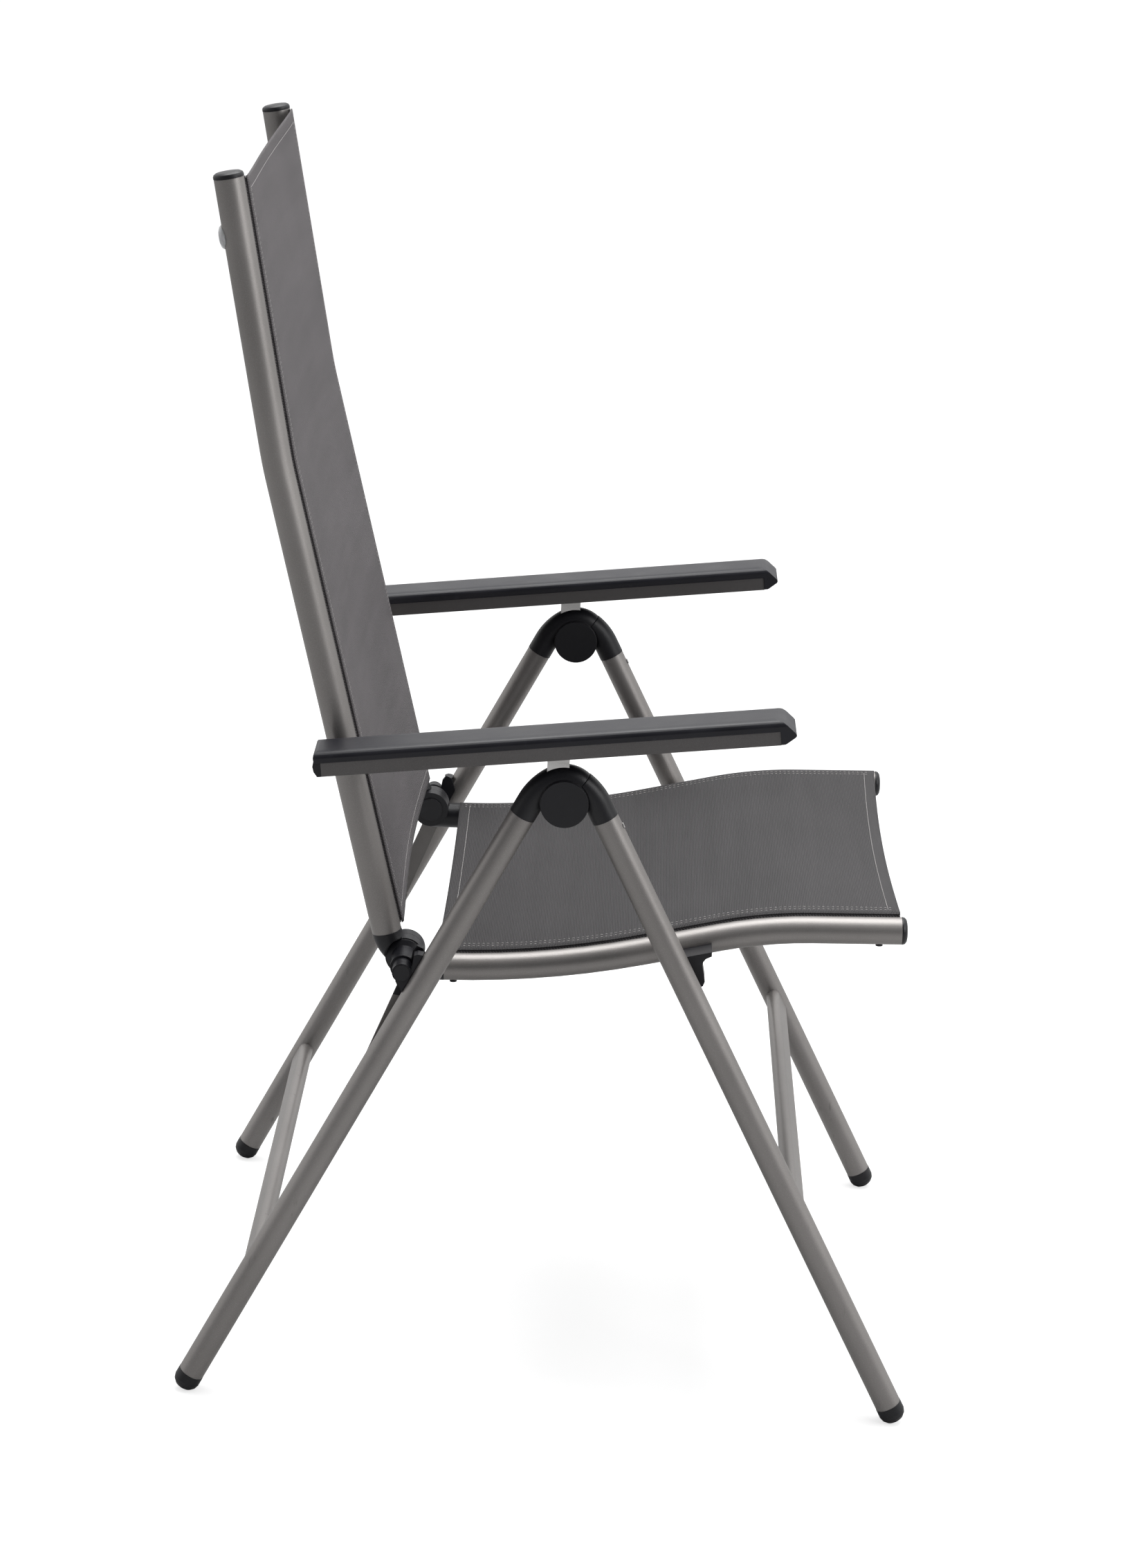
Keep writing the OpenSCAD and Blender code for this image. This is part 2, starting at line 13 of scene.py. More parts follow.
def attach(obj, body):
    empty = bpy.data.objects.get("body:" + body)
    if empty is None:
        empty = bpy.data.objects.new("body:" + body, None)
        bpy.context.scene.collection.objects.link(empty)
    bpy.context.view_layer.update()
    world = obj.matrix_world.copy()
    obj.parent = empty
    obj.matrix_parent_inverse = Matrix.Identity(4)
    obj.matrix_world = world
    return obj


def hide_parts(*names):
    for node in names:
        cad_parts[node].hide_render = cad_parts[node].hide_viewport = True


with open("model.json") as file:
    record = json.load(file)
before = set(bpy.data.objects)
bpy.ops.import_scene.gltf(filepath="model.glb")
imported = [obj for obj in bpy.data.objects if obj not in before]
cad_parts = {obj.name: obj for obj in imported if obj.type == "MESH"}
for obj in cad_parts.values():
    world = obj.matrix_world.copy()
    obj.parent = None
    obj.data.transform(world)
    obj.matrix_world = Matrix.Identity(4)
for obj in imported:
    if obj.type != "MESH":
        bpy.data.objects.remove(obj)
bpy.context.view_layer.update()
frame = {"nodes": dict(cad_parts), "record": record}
nodes = frame["nodes"]

# Camera: metres and radians, with the lens and sensor in millimetres
CAMERA_AT = Vector((0.0277, -3.5029, 1.5949))
CAMERA_YAW = -0.01104
CAMERA_PITCH = 0.21121
CAMERA_ROLL = 0.04241
LENS_MM = 90.43
SENSOR_MM = 36.0
SHIFT_Y = -0.2352
CLIP_START = 0.1
CLIP_END = 200.0

# Tubes that carry the slings, as the CAD bends them: (length, turn in degrees)
SEAT_START = (-0.100, 0.3891)
SEAT_HEADING = 1.0
SEAT_BENDS = ((0.17583, 12.5927), (0.069, 0.0), (0.08173, -11.7066), (0.078, 0.0))
SEAT_SPAN = (-0.0065, 0.4032)
SEAT_R = 0.012
BACK_START = (-0.1517, 0.420)
BACK_HEADING = 104.46
BACK_BENDS = ((0.417, 0.0), (0.02481, -3.5535), (0.2382, 0.0))
BACK_SPAN = (0.0035, 0.679)
BACK_R = 0.013

# Cloth, and how it turns over the tubes at its sides
CLOTH_T = 0.0011
CLOTH_ROWS = 150
CLOTH_COLUMNS = 91
CLOTH_WRAP = 0.0022
SIDE_CROWDING = 0.96
WRAP_CLEAR = 0.001
WRAP_TURN = 1.9
SAG_POWER = 1.5

# Hems, lying on the cloth
HEM_T = 0.0006
HEM_CLEAR = 0.0002
HEM_CROWN = 0.0004
HEM_FLATNESS = 6
HEM_COLUMNS = 7
SIDE_HEM_SPOTS = 120
END_HEM_SPOTS = 90
HEM_INSET = 0.002

# Rolled edges
ROLL_RINGS = 260
ROLL_SIDES = 14
ROLL_CLEAR = 0.0004
ROLL_OUT = 0.001
ROLL_PINCH = 0.55
ROLL_PINCH_LENGTH = 0.006
ROLL_LUMP = 0.05
ROLL_LUMP_PITCH = 0.0034

# Stitching: (pitch, length) of the stitches along the sides and along the ends
SIDE_STITCH = (0.0042, 0.0028)
END_STITCH = (0.0034, 0.0031)
THREAD_R = 0.00035
THREAD_UP = 0.0009
THREAD_ARCH = 0.8
THREAD_END = 0.05
THREAD_SIDES = 5
THREAD_RINGS = 5
SEAM_STEPS = 400
SEAM_IN_HEM = 0.0015
SECOND_SEAM_IN_HEM = 0.0075
SEAM_SHARE = (0.012, 0.976)
END_SEAM_SHORT = 0.006

# Studio: the world's brightness from the camera's side to behind the chair, as (place, colour)
WORLD_NEAR = (0.06, (0.05, 0.05, 0.055, 1))
WORLD_MIDDLE = (0.24, (0.26, 0.26, 0.27, 1))
WORLD_FAR = (0.42, (1.0, 1.0, 1.0, 1))
WHITE = (1.0, 1.0, 1.0, 1.0)
FLOOR_HALF = 60.0
FLOOR_DARK = (0.44, 0.44, 0.44)
FLOOR_LIGHT = (0.46, 0.46, 0.46)
FLOOR_GLOW = 0.68

# Places of a Mix node's colour sockets
MIX_FIRST = 6
MIX_SECOND = 7
MIX_RESULT = 2


# ---- Materials --------------------------------------------------------------

def shaded(colour, by):
    return tuple(by * c for c in colour)


class Finish:
    """A material and short ways to add nodes to it and join them."""

    def __init__(self, name):
        self.material = bpy.data.materials.new(name)
        self.material.use_nodes = True
        self.tree = self.material.node_tree
        self.surface = self.tree.nodes["Principled BSDF"]
        self.places = self.add("ShaderNodeTexCoord")

    def add(self, kind, **values):
        node = self.tree.nodes.new(kind)
        for key, value in values.items():
            if hasattr(node, key):
                setattr(node, key, value)
            else:
                node.inputs[key.replace("_", " ")].default_value = value
        return node

    def join(self, output, socket):
        self.tree.links.new(output, socket)

    def set(self, **values):
        """Gives the surface's inputs plain values."""
        for key, value in values.items():
            self.surface.inputs[key.replace("_", " ")].default_value = value

    def drive(self, **outputs):
        """Joins outputs of nodes to the surface's inputs."""
        for key, output in outputs.items():
            self.join(output, self.surface.inputs[key.replace("_", " ")])

    def coordinates(self, kind="Object"):
        return self.places.outputs[kind]

    def scaled(self, scale):
        """Object coordinates, scaled by axis."""
        mapping = self.add("ShaderNodeMapping", Scale=scale)
        self.join(self.coordinates(), mapping.inputs["Vector"])
        return mapping.outputs["Vector"]

    def split(self, vector):
        node = self.add("ShaderNodeSeparateXYZ")
        self.join(vector, node.inputs["Vector"])
        return node.outputs

    def noise(self, scale, detail=3.0, stretch=None):
        texture = self.add("ShaderNodeTexNoise", Scale=scale, Detail=detail)
        source = self.scaled(stretch) if stretch else self.coordinates()
        self.join(source, texture.inputs["Vector"])
        return texture.outputs["Fac"]

    def spread(self, value, low=0.0, high=1.0, clip=(0.3, 0.7)):
        """value, from clip's range to low..high."""
        node = self.add("ShaderNodeMapRange")
        self.join(value, node.inputs["Value"])
        for key, number in zip(("From Min", "From Max", "To Min", "To Max"), (*clip, low, high)):
            node.inputs[key].default_value = number
        return node.outputs["Result"]

    def math(self, operation, a, b=None):
        node = self.add("ShaderNodeMath", operation=operation)
        self.join(a, node.inputs[0])
        if isinstance(b, float):
            node.inputs[1].default_value = b
        elif b is not None:
            self.join(b, node.inputs[1])
        return node.outputs["Value"]

    def mix(self, share, first, second):
        """first where share is 0, second where it is 1; each is a colour or a node's output."""
        node = self.add("ShaderNodeMix", data_type="RGBA")
        self.join(share, node.inputs["Factor"])
        for place, value in ((MIX_FIRST, first), (MIX_SECOND, second)):
            if isinstance(value, tuple):
                node.inputs[place].default_value = (*value, 1.0)
            else:
                self.join(value, node.inputs[place])
        return node.outputs[MIX_RESULT]

    def bump(self, height, strength, distance, under=None):
        node = self.add("ShaderNodeBump", Strength=strength, Distance=distance)
        self.join(height, node.inputs["Height"])
        if under is not None:
            self.join(under, node.inputs["Normal"])
        return node.outputs["Normal"]

    def rounded(self, radius):
        """Normals that soften the edges of a CAD part."""
        return self.add("ShaderNodeBevel", Radius=radius, samples=4).outputs["Normal"]


def painted_tube(name, dark, light, scuffed=(0.15, 0.145, 0.14)):
    """Metallic powder coat, with flake, faint clouds and scuffs low on the legs."""
    f = Finish(name)
    flake = f.noise(scale=2600.0, detail=1.0)
    cloud = f.noise(scale=7.0, detail=4.0)
    colour = f.mix(f.spread(cloud), dark, light)
    colour = f.mix(f.spread(flake, high=0.35, clip=(0.55, 0.75)), colour, shaded(light, by=1.8))
    scuff = f.spread(f.noise(scale=160.0, detail=6.0, stretch=(1.0, 1.0, 0.25)), clip=(0.66, 0.74))
    low_down = f.spread(f.split(f.coordinates())["Z"], low=0.5, high=0.04, clip=(0.02, 0.4))
    f.drive(
        Base_Color=f.mix(f.math("MULTIPLY", scuff, low_down), colour, scuffed),
        Roughness=f.spread(cloud, low=0.40, high=0.48),
        Normal=f.bump(flake, strength=0.12, distance=0.0002, under=f.rounded(radius=0.0006)),
    )
    f.set(Metallic=0.75, Specular_IOR_Level=0.4)
    return f.material


def moulded_plastic(name, dark, light, roughness, grain=0.16):
    """Moulded plastic with fine spark-eroded grain, rubbed paler in patches."""
    f = Finish(name)
    cloud = f.noise(scale=22.0, detail=5.0)
    colour = f.mix(f.spread(cloud), dark, light)
    rub = f.spread(f.noise(scale=90.0, detail=8.0), high=0.5, clip=(0.62, 0.75))
    speck = f.noise(scale=1500.0, detail=2.0)
    f.drive(
        Base_Color=f.mix(rub, colour, shaded(light, by=1.6)),
        Roughness=f.spread(cloud, low=roughness - 0.05, high=roughness + 0.06),
        Normal=f.bump(speck, strength=grain, distance=0.0003, under=f.rounded(radius=0.0009)),
    )
    f.set(Specular_IOR_Level=0.42)
    return f.material


def link_finish(dark, light, plastic, hub, reach):
    """Coated metal along a swing link's bar, in a darker copy of the frame's coat as painted shade, and
    plastic within reach of the hinge at its top.
    """
    f = Finish("link_coat_painted_shade")
    blur = 0.0003
    apart = f.add("ShaderNodeVectorMath", operation="DISTANCE")
    f.join(f.scaled((1.0, 0.0, 1.0)), apart.inputs[0])
    apart.inputs[1].default_value = (hub[0], 0.0, hub[1])
    bar = f.spread(apart.outputs["Value"], clip=(reach - blur, reach + blur))
    cloud = f.noise(scale=30.0, detail=4.0)
    # The bar's colours are the frame's coat darkened: painted shade, for how dark the near link looks in
    # shadow
    metal = f.mix(f.spread(cloud), dark, light)
    speck = f.noise(scale=1500.0, detail=2.0)
    f.drive(
        Base_Color=f.mix(bar, plastic, metal),
        Metallic=f.spread(bar, high=0.75, clip=(0.0, 1.0)),
        Roughness=f.spread(cloud, low=0.38, high=0.48),
        Normal=f.bump(speck, strength=0.12, distance=0.0003, under=f.rounded(radius=0.0006)),
    )
    f.set(Specular_IOR_Level=0.35)
    return f.material


def plated_steel(dark, light):
    """Zinc-plated pressed steel with drawn lines."""
    f = Finish("plated_steel")
    lines = f.noise(scale=240.0, detail=4.0, stretch=(0.12, 1.0, 1.0))
    f.drive(
        Base_Color=f.mix(f.spread(lines), dark, light),
        Roughness=f.spread(lines, low=0.22, high=0.36),
        Normal=f.bump(lines, strength=0.15, distance=0.0003, under=f.rounded(radius=0.0005)),
    )
    f.set(Metallic=1.0)
    return f.material


def milky_plastic(dark, light):
    """Soft translucent bumper."""
    f = Finish("milky_bumper")
    f.drive(
        Base_Color=f.mix(f.spread(f.noise(scale=80.0)), dark, light),
        Normal=f.bump(f.noise(scale=400.0), strength=0.08, distance=0.0003, under=f.rounded(radius=0.001)),
    )
    f.set(Roughness=0.32, Transmission_Weight=0.35, Subsurface_Weight=0.25, Subsurface_Radius=(0.004,) * 3)
    return f.material


def thread(dark, light):
    """Twisted pale grey sewing thread."""
    f = Finish("thread")
    twist = f.noise(scale=3000.0, detail=1.0, stretch=(1.0, 1.0, 0.4))
    f.drive(
        Base_Color=f.mix(f.spread(twist), dark, light),
        Normal=f.bump(twist, strength=0.4, distance=0.0002),
    )
    f.set(Roughness=0.6)
    return f.material


def woven_sling(name, dark, light, across, along, twill):
    """Coated-yarn fabric. Its UVs are metres across and along the chair; twill is how far its ribs lean."""
    f = Finish(name)
    whole_weave = (-0.9, 0.9)
    rib_share = 0.6
    knot_share = 0.4
    u, v = f.split(f.coordinates("UV"))[:2]
    leaned = f.math("ADD", v, f.math("MULTIPLY", u, twill))
    weft = f.math("SINE", f.math("MULTIPLY", leaned, 2 * math.pi / along))
    warp = f.math("SINE", f.math("MULTIPLY", u, 2 * math.pi / across))
    knots = f.math("MULTIPLY", weft, warp)
    height = f.math("ADD", f.math("MULTIPLY", weft, rib_share), f.math("MULTIPLY", knots, knot_share))
    slub = f.noise(scale=60.0, detail=5.0, stretch=(1.0, 0.06, 1.0))
    patch = f.noise(scale=9.0, detail=3.0)
    # Painted shade: the weave's valleys between threads are coloured darker than the tops of its ribs
    colour = f.mix(f.spread(height, clip=whole_weave), dark, light)
    colour = f.mix(f.spread(slub, high=0.28, clip=(0.35, 0.7)), colour, shaded(dark, by=0.55))
    f.drive(
        Base_Color=f.mix(f.spread(patch, high=0.16), colour, shaded(light, by=1.25)),
        Roughness=f.spread(height, low=0.62, high=0.46, clip=whole_weave),
        Normal=f.bump(height, strength=0.55, distance=0.0005),
    )
    f.set(Specular_IOR_Level=0.25, Sheen_Weight=0.04, Sheen_Roughness=0.5)
    return f.material


FRAME_COAT = painted_tube("champagne_coat", dark=(0.250, 0.237, 0.229), light=(0.310, 0.295, 0.286))
# The arm rails wear the frame's champagne coat darkened: painted shade, for how dark the rails look under
# this light
RAIL_COAT_PAINTED_SHADE = painted_tube("rail_coat_painted_shade", dark=(0.112, 0.107, 0.106), light=(0.146, 0.140, 0.139))
PLASTIC = moulded_plastic(
    "anthracite_plastic", dark=(0.0055, 0.0055, 0.0075), light=(0.0090, 0.0090, 0.0120), roughness=0.42)
# The armrest pads: the anthracite plastic made lighter and bluer, a painted sheen for the bluish reflection
# on their tops
PAD_PLASTIC_PAINTED_SHEEN = moulded_plastic(
    "armrest_plastic_painted_sheen", dark=(0.0070, 0.0070, 0.0105), light=(0.0120, 0.0120, 0.0170), roughness=0.40,
    grain=0.1)
DARK_STEEL = moulded_plastic(
    "black_steel", dark=(0.0055, 0.0055, 0.0070), light=(0.0100, 0.0100, 0.0130), roughness=0.38, grain=0.05)
# The links' bars: painted shade, a darker copy of the frame's champagne coat; the hub is plain dark plastic
LINK_COAT_PAINTED_SHADE = link_finish(
    dark=(0.150, 0.143, 0.138), light=(0.200, 0.191, 0.184), plastic=(0.008, 0.008, 0.011),
    hub=(-0.135, 0.399), reach=0.026)
STEEL = plated_steel(dark=(0.52, 0.51, 0.50), light=(0.72, 0.71, 0.70))
MILKY = milky_plastic(dark=(0.74, 0.75, 0.76), light=(0.86, 0.86, 0.86))
THREAD = thread(dark=(0.26, 0.25, 0.25), light=(0.46, 0.44, 0.43))
SEAT_CLOTH = woven_sling(
    "seat_cloth", dark=(0.010, 0.0092, 0.0098), light=(0.050, 0.0465, 0.0495),
    across=0.0020, along=0.00145, twill=0.0)
BACK_CLOTH = woven_sling(
    "back_cloth", dark=(0.028, 0.0255, 0.0265), light=(0.130, 0.118, 0.124),
    across=0.0020, along=0.00150, twill=0.45)
HEM_CLOTH = woven_sling(
    "hem_cloth", dark=(0.008, 0.0075, 0.008), light=(0.090, 0.084, 0.088),
    across=0.0024, along=0.0026, twill=0.9)

BY_SLOT = {
    "frame_tube": FRAME_COAT,
    "plastic": PLASTIC,
    "steel": STEEL,
    "dark_steel": DARK_STEEL,
    "sling": SEAT_CLOTH,
    "clear_bumper": MILKY,
}

# Nodes with a finish of their own, by the start of their names: a painted sheen on the armrest pads, and
# painted shade on the arm rails and on the links' bars
BY_NODE = (
    ("arm_pad", PAD_PLASTIC_PAINTED_SHEEN),
    ("arm_rail", RAIL_COAT_PAINTED_SHADE),
    ("link_left", LINK_COAT_PAINTED_SHADE),
    ("link_right", LINK_COAT_PAINTED_SHADE),
)


def dress_cad():
    """Gives every CAD node the finish of its slot, or its own."""
    for part in frame["record"]["subparts"]:
        made_of = BY_SLOT[part["material_slot"]]
        for start, finish in BY_NODE:
            if part["node"].startswith(start):
                made_of = finish
        mesh = nodes[part["node"]].data
        mesh.materials.clear()
        mesh.materials.append(made_of)


# ---- Sling fabric -----------------------------------------------------------

class Tube:
    """A bent tube of the CAD, followed along its axis in side view."""

    def __init__(self, start, heading, bends, rise, radius):
        self.radius = radius
        self.start = start
        self.heading = math.radians(heading)
        self.bends = bends
        self.rise = rise

    def at(self, t):
        """The axis point and the heading, t along the tube."""
        x, z = self.start
        h = self.heading
        last = len(self.bends) - 1
        for i, (length, turn) in enumerate(self.bends):
            part = t if i == last else min(t, length)
            swing = math.radians(turn) * part / length
            chord = part if swing == 0 else part * math.sin(swing / 2) / (swing / 2)
            x += chord * math.cos(h + swing / 2)
            z += chord * math.sin(h + swing / 2)
            h += swing
            t -= part
            if t <= 0:
                break
        return x, z, h

    def point(self, t, y, off):
        """A point off the axis, on the side that the sling is on."""
        x, z, h = self.at(t)
        return Vector((x - self.rise * off * math.sin(h), y, z + self.rise * off * math.cos(h)))


SEAT = Tube(SEAT_START, SEAT_HEADING, SEAT_BENDS, 1, SEAT_R)
BACK = Tube(BACK_START, BACK_HEADING, BACK_BENDS, -1, BACK_R)


def mesh_piece(name, points, faces, material, uvs=None):
    """A smooth-shaded piece. Its UVs, if any, are one pair for each point."""
    mesh = bpy.data.meshes.new(name)
    mesh.from_pydata(points, [], faces)
    mesh.update()
    if uvs is not None:
        layer = mesh.uv_layers.new(name="UVMap")
        for loop in mesh.loops:
            layer.data[loop.index].uv = uvs[loop.vertex_index]
    for polygon in mesh.polygons:
        polygon.use_smooth = True
    mesh.materials.append(material)
    piece = bpy.data.objects.new(name, mesh)
    bpy.context.scene.collection.objects.link(piece)
    return piece


def grid_faces(rows, columns):
    """Faces of a sheet whose points are listed row by row."""
    return [
        (i * columns + j, i * columns + j + 1, (i + 1) * columns + j + 1, (i + 1) * columns + j)
        for i in range(rows - 1)
        for j in range(columns - 1)
    ]


class Sling:
    """The shape of one stretched sling: how it crosses between its tubes and where its ends are cut."""

    def __init__(self, tube, span, lift, edge, sag, dips):
        self.tube = tube
        self.span = span
        self.lift = lift
        self.edge = edge
        self.sag = sag
        self.dips = dips

    def section(self, w):
        """(y, distance off the tubes' axis) at w metres across the cloth from its middle."""
        share = min(abs(w) / self.edge, 1.0)
        off = self.lift - self.sag * (1 - share ** 2) ** SAG_POWER
        over = abs(w) - self.edge
        if over <= 0:
            return w, off
        bend = self.lift - self.tube.radius + WRAP_CLEAR
        turn = min(over / bend, WRAP_TURN)
        y = self.edge + bend * math.sin(turn)
        return math.copysign(y, w), self.lift - bend * (1 - math.cos(turn))

    def ends(self, w):
        """Where the cloth starts and stops along its tubes: its cut ends hollow between the tubes."""
        hollow = max(1 - (w / self.edge) ** 2, 0.0)
        return self.span[0] + self.dips[0] * hollow, self.span[1] - self.dips[1] * hollow

    def point(self, s, w, up=0.0):
        """s runs from 0 to 1 along the cloth."""
        low, high = self.ends(w)
        y, off = self.section(w)
        return self.tube.point(low + (high - low) * s, y, off + up)


SEAT_SLING = Sling(SEAT, SEAT_SPAN, lift=0.0139, edge=0.209, sag=0.0040, dips=(0.001, 0.004))
BACK_SLING = Sling(BACK, BACK_SPAN, lift=0.0148, edge=0.210, sag=0.0040, dips=(0.003, 0.003))


def sheet_piece(name, sling, points, faces, material, uvs, thickness):
    """A thin double-faced sheet, with its outer face up from its tubes."""
    piece = mesh_piece(name, points, faces, material, uvs)
    if sling.tube.rise < 0:
        piece.data.flip_normals()
    skin = piece.modifiers.new("thickness", "SOLIDIFY")
    skin.thickness = thickness
    skin.offset = -1.0
    return piece


def cloth(name, sling, material, body, node):
    """The cloth itself, with finer columns near its side hems."""
    half = sling.edge + CLOTH_WRAP
    points = []
    uvs = []
    for i in range(CLOTH_ROWS):
        s = i / (CLOTH_ROWS - 1)
        for j in range(CLOTH_COLUMNS):
            share = 2 * j / (CLOTH_COLUMNS - 1) - 1
            w = half * math.sin(share * math.pi / 2 * SIDE_CROWDING) / math.sin(math.pi / 2 * SIDE_CROWDING)
            points.append(sling.point(s, w))
            low, high = sling.ends(w)
            uvs.append((w, low + (high - low) * s))
    faces = grid_faces(CLOTH_ROWS, CLOTH_COLUMNS)
    piece = sheet_piece(name, sling, points, faces, material, uvs, CLOTH_T)
    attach(piece, body)
    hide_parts(node)


def strip(name, sling, spots, width, material, body):
    """A folded hem: a band lying on the cloth along spots, each (s, w) with the way (ds, dw) across it."""
    points = []
    uvs = []
    run = 0.0
    last = sling.point(*spots[0][:2])
    for s, w, ds, dw in spots:
        here = sling.point(s, w)
        run += (here - last).length
        last = here
        for j in range(HEM_COLUMNS):
            share = j / (HEM_COLUMNS - 1)
            crown = HEM_CROWN * (1 - (2 * share - 1) ** HEM_FLATNESS)
            points.append(sling.point(s + ds * share, w + dw * share, HEM_CLEAR + crown))
            uvs.append((share * width, run))
    piece = sheet_piece(name, sling, points, grid_faces(len(spots), HEM_COLUMNS), material, uvs, HEM_T)
    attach(piece, body)


def one_stitch(start, way, length, first):
    """Points and faces of one stitch, which runs from start along way and arches off the cloth."""
    across_every_seam = Vector((0.3, 0.2, 0.93))
    side = way.cross(across_every_seam).normalized()
    up = side.cross(way).normalized()
    points = []
    for r in range(THREAD_RINGS):
        share = r / (THREAD_RINGS - 1)
        size = THREAD_R * math.sqrt(max(1 - (2 * share - 1) ** 4, THREAD_END))
        middle = start + way * (length * share) + up * (THREAD_R * THREAD_ARCH * math.sin(math.pi * share))
        for m in range(THREAD_SIDES):
            turn = 2 * math.pi * m / THREAD_SIDES
            points.append(middle + side * (size * math.cos(turn)) + up * (size * math.sin(turn)))
    faces = []
    for r in range(THREAD_RINGS - 1):
        for m in range(THREAD_SIDES):
            p = first + r * THREAD_SIDES + m
            q = first + r * THREAD_SIDES + (m + 1) % THREAD_SIDES
            faces.append((p, q, q + THREAD_SIDES, p + THREAD_SIDES))
    last = first + (THREAD_RINGS - 1) * THREAD_SIDES
    faces.append(tuple(first + m for m in range(THREAD_SIDES))[::-1])
    faces.append(tuple(last + m for m in range(THREAD_SIDES)))
    return points, faces


def stitches(name, sling, line, body, pitch, length):
    """A row of lock stitches along line, a function from 0..1 to (s, w)."""
    path = [sling.point(*line(i / SEAM_STEPS), THREAD_UP) for i in range(SEAM_STEPS + 1)]
    run = [0.0]
    for a, b in zip(path, path[1:]):
        run.append(run[-1] + (b - a).length)
    points = []
    faces = []
    k = 0
    for n in range(int(run[-1] / pitch)):
        begin = n * pitch
        while k < SEAM_STEPS - 1 and run[k + 1] < begin:
            k += 1
        start = path[k].lerp(path[k + 1], (begin - run[k]) / (run[k + 1] - run[k]))
        way = (path[k + 1] - path[k]).normalized()
        more_points, more_faces = one_stitch(start, way, length, len(points))
        points += more_points
        faces += more_faces
    piece = mesh_piece(name, points, faces, THREAD)
    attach(piece, body)


def keder(name, sling, sign, radius, body, material):
    """The rolled edge that holds the cloth in its tube, wrapped round a rod, with a pinched end."""
    low, high = sling.span
    points = []
    uvs = []
    for i in range(ROLL_RINGS):
        t = low + (high - low) * i / (ROLL_RINGS - 1)
        from_end = min(t - low, high - t)
        size = radius * min(1.0, ROLL_PINCH + from_end / ROLL_PINCH_LENGTH * (1 - ROLL_PINCH))
        for m in range(ROLL_SIDES + 1):
            turn = 2 * math.pi * m / ROLL_SIDES
            lumps = 1 + ROLL_LUMP * math.sin(2 * math.pi * (t / ROLL_LUMP_PITCH) + 2 * turn)
            y = sign * (sling.edge + ROLL_OUT + size * lumps * math.cos(turn))
            off = sling.lift - radius - ROLL_CLEAR + size * lumps * math.sin(turn)
            points.append(sling.tube.point(t, y, off))
            uvs.append((m / ROLL_SIDES * 2 * math.pi * radius, t))
    last = (ROLL_RINGS - 1) * (ROLL_SIDES + 1)
    faces = grid_faces(ROLL_RINGS, ROLL_SIDES + 1)
    faces.append(tuple(range(ROLL_SIDES))[::-1])
    faces.append(tuple(last + m for m in range(ROLL_SIDES)))
    piece = mesh_piece(name, points, faces, material, uvs)
    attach(piece, body)


def side_hem(sling, sign, width):
    """Spots along one side edge, each with the way across the hem."""
    w = sign * (sling.edge + HEM_INSET)
    return [(i / (SIDE_HEM_SPOTS - 1), w, 0.0, -sign * width) for i in range(SIDE_HEM_SPOTS)]


def end_hem(sling, at_start, width):
    """Spots along one cut end, each with the way along the cloth."""
    reach = sling.edge - HEM_INSET
    share = width / (sling.span[1] - sling.span[0])
    edge, inward = (0.0, share) if at_start else (1.0, -share)
    return [
        (edge, reach * (2 * i / (END_HEM_SPOTS - 1) - 1), inward, 0.0)
        for i in range(END_HEM_SPOTS)
    ]


def build_sling(label, sling, material, body, node, hem_end, hem_side, roll):
    """One sling: its cloth, then the rolled edge, hem and two seams of each side, then the ends' hems."""
    cloth(label + "_cloth", sling, material, body, node)
    seam_from, seam_share = SEAM_SHARE
    for sign, side in ((1, "left"), (-1, "right")):
        keder(f"{label}_keder_{side}", sling, sign, roll, body, HEM_CLOTH)
        strip(f"{label}_hem_{side}", sling, side_hem(sling, sign, hem_side), hem_side, material, body)
        for row, inset in enumerate((hem_side - SEAM_IN_HEM, hem_side - SECOND_SEAM_IN_HEM)):
            w = sign * (sling.edge - inset)
            stitches(f"{label}_stitch_{side}_{row}", sling,
                     lambda q, w=w: (seam_from + seam_share * q, w), body, *SIDE_STITCH)
    length = sling.span[1] - sling.span[0]
    reach = sling.edge - END_SEAM_SHORT
    for at_start, end in ((True, "low"), (False, "high")):
        strip(f"{label}_hem_{end}", sling, end_hem(sling, at_start, hem_end), hem_end, material, body)
        inward = (hem_end - SEAM_IN_HEM) / length
        s = inward if at_start else 1 - inward
        stitches(f"{label}_stitch_{end}", sling,
                 lambda q, s=s: (s, reach * (2 * q - 1)), body, *END_STITCH)


# ---- Stage ------------------------------------------------------------------

def set_camera():
    """A camera on the chair's right, turned by yaw, then pitch, then roll."""
    forward = Vector((
        math.sin(CAMERA_YAW) * math.cos(CAMERA_PITCH),
        math.cos(CAMERA_YAW) * math.cos(CAMERA_PITCH),
        -math.sin(CAMERA_PITCH),
    ))
    right = forward.cross(Vector((0, 0, 1))).normalized()
    up = right.cross(forward)
    c, s = math.cos(CAMERA_ROLL), math.sin(CAMERA_ROLL)
    right, up = c * right + s * up, -s * right + c * up
    data = bpy.data.cameras.new("camera")
    data.lens = LENS_MM
    data.sensor_width = SENSOR_MM
    data.shift_y = SHIFT_Y
    data.clip_start = CLIP_START
    data.clip_end = CLIP_END
    camera = bpy.data.objects.new("camera", data)
    camera.matrix_world = Matrix((
        (right.x, up.x, -forward.x, CAMERA_AT.x),
        (right.y, up.y, -forward.y, CAMERA_AT.y),
        (right.z, up.z, -forward.z, CAMERA_AT.z),
        (0, 0, 0, 1),
    ))
    bpy.context.scene.collection.objects.link(camera)
    bpy.context.scene.camera = camera


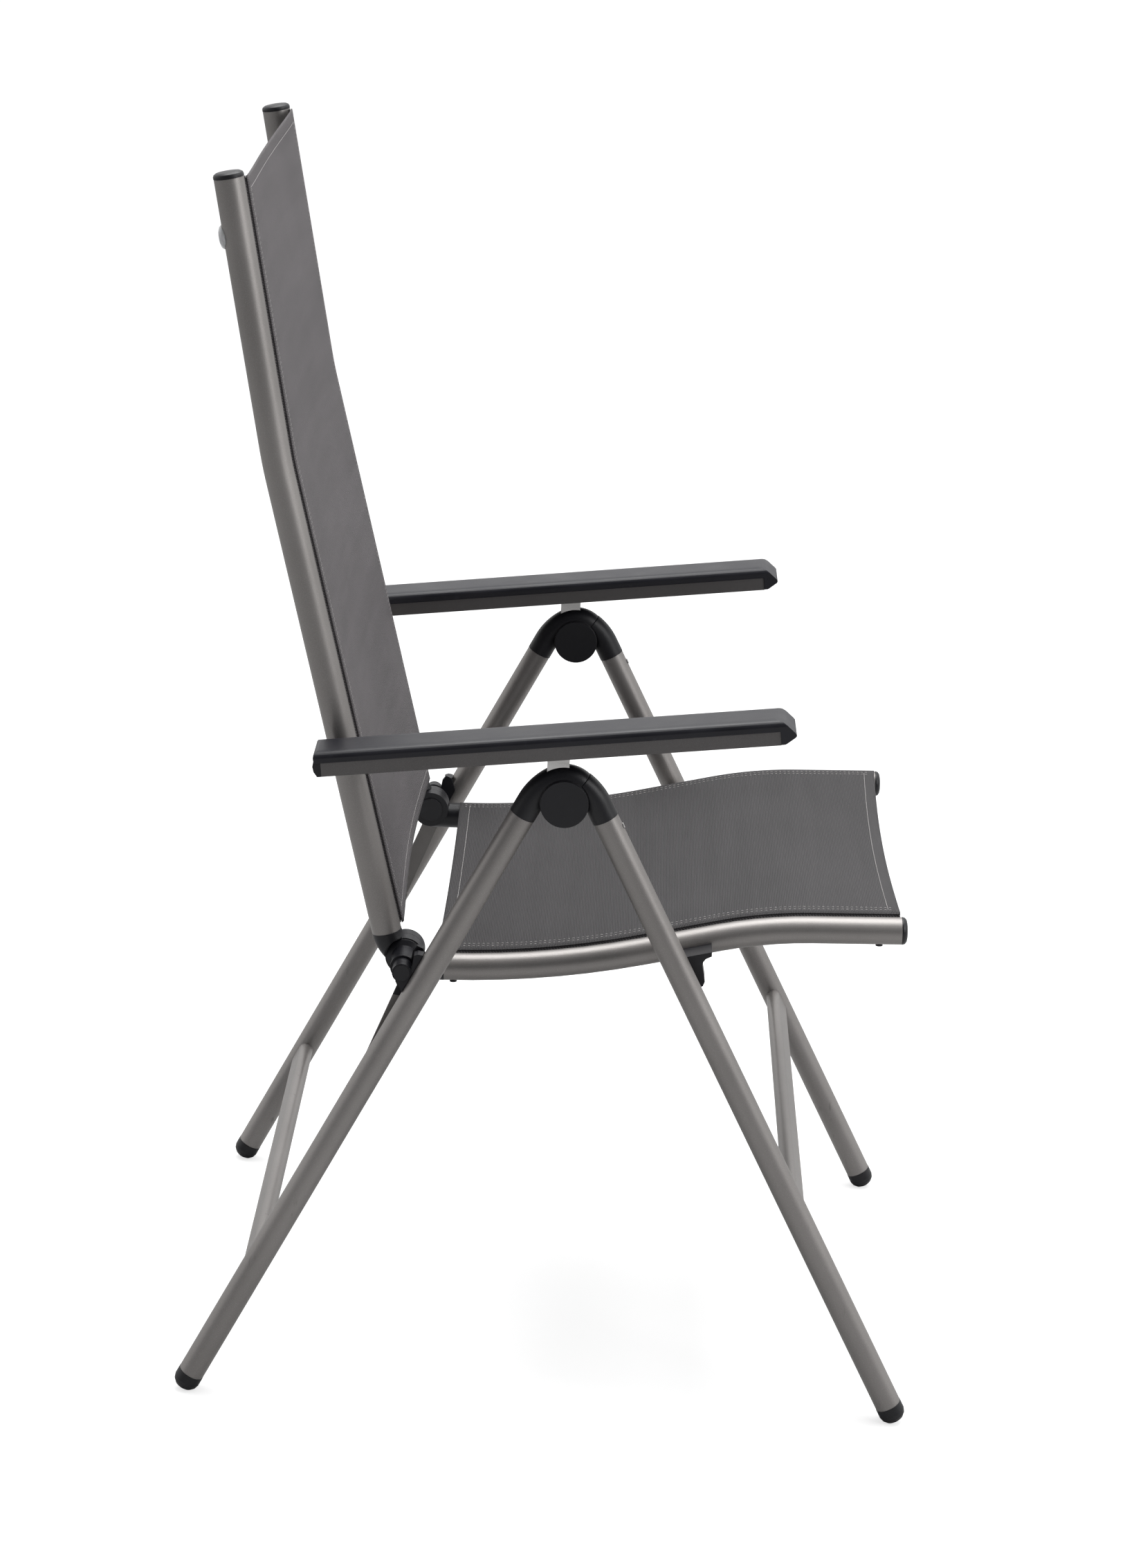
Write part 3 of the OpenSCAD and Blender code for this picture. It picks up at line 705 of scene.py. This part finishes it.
def set_world():
    """A white studio, bright behind the chair and dim in front of it, that the camera sees as plain white."""
    world = bpy.data.worlds.new("studio")
    world.use_nodes = True
    bpy.context.scene.world = world
    tree = world.node_tree
    place = tree.nodes.new("ShaderNodeTexCoord")
    split = tree.nodes.new("ShaderNodeSeparateXYZ")
    ramp = tree.nodes.new("ShaderNodeValToRGB")
    tree.links.new(place.outputs["Generated"], split.inputs["Vector"])
    shift = tree.nodes.new("ShaderNodeMapRange")
    shift.inputs["From Min"].default_value = -1.0
    tree.links.new(split.outputs["Y"], shift.inputs["Value"])
    tree.links.new(shift.outputs["Result"], ramp.inputs["Fac"])
    stops = ramp.color_ramp.elements
    stops[0].position, stops[0].color = WORLD_NEAR
    stops[1].position, stops[1].color = WORLD_FAR
    middle = stops.new(WORLD_MIDDLE[0])
    middle.color = WORLD_MIDDLE[1]
    light = tree.nodes["Background"]
    tree.links.new(ramp.outputs["Color"], light.inputs["Color"])
    light.inputs["Strength"].default_value = 1.0
    seen = tree.nodes.new("ShaderNodeBackground")
    seen.inputs["Color"].default_value = WHITE
    seen.inputs["Strength"].default_value = 1.0
    path = tree.nodes.new("ShaderNodeLightPath")
    choose = tree.nodes.new("ShaderNodeMixShader")
    tree.links.new(path.outputs["Is Camera Ray"], choose.inputs["Fac"])
    tree.links.new(light.outputs["Background"], choose.inputs[1])
    tree.links.new(seen.outputs["Background"], choose.inputs[2])
    tree.links.new(choose.outputs["Shader"], tree.nodes["World Output"].inputs["Surface"])


def add_lamp(name, at, aim, size, power):
    """A rectangular soft lamp, of power in watts."""
    data = bpy.data.lights.new(name, "AREA")
    data.shape = "RECTANGLE"
    data.size, data.size_y = size
    data.energy = power
    lamp = bpy.data.objects.new(name, data)
    lamp.location = at
    lamp.rotation_mode = "QUATERNION"
    lamp.rotation_quaternion = (Vector(aim) - Vector(at)).to_track_quat("-Z", "Y")
    bpy.context.scene.collection.objects.link(lamp)


def set_floor():
    """A pale floor that fades into the background: it glows where it is seen, and only there."""
    corners = [(FLOOR_HALF * x, FLOOR_HALF * y, 0) for x, y in ((-1, -1), (1, -1), (1, 1), (-1, 1))]
    f = Finish("studio_floor")
    seen = f.add("ShaderNodeLightPath").outputs["Is Camera Ray"]
    f.drive(
        Base_Color=f.mix(f.spread(f.noise(scale=1.5)), FLOOR_DARK, FLOOR_LIGHT),
        Emission_Strength=f.math("MULTIPLY", seen, FLOOR_GLOW),
    )
    f.set(Roughness=0.9, Specular_IOR_Level=0.1, Emission_Color=WHITE)
    floor = mesh_piece("floor", corners, [(0, 1, 2, 3)], f.material)


def set_view():
    """Plain sRGB, with no look or exposure on top."""
    scene = bpy.context.scene
    scene.view_settings.view_transform = "Standard"
    scene.view_settings.look = "None"
    scene.view_settings.exposure = 0.0
    scene.view_settings.gamma = 1.0


set_camera()
set_world()
set_floor()
set_view()
add_lamp("lamp_top", at=(0.2, 0.6, 3.2), aim=(0, 0, 0.4), size=(3.0, 2.2), power=95)
add_lamp("lamp_front", at=(2.6, -1.6, 2.0), aim=(0, 0, 0.5), size=(1.6, 1.6), power=36)

dress_cad()
build_sling("seat", SEAT_SLING, SEAT_CLOTH, "seat", "seat_sling",
            hem_end=0.0115, hem_side=0.0135, roll=0.0021)
build_sling("back", BACK_SLING, BACK_CLOTH, "back", "back_sling",
            hem_end=0.013, hem_side=0.010, roll=0.0020)
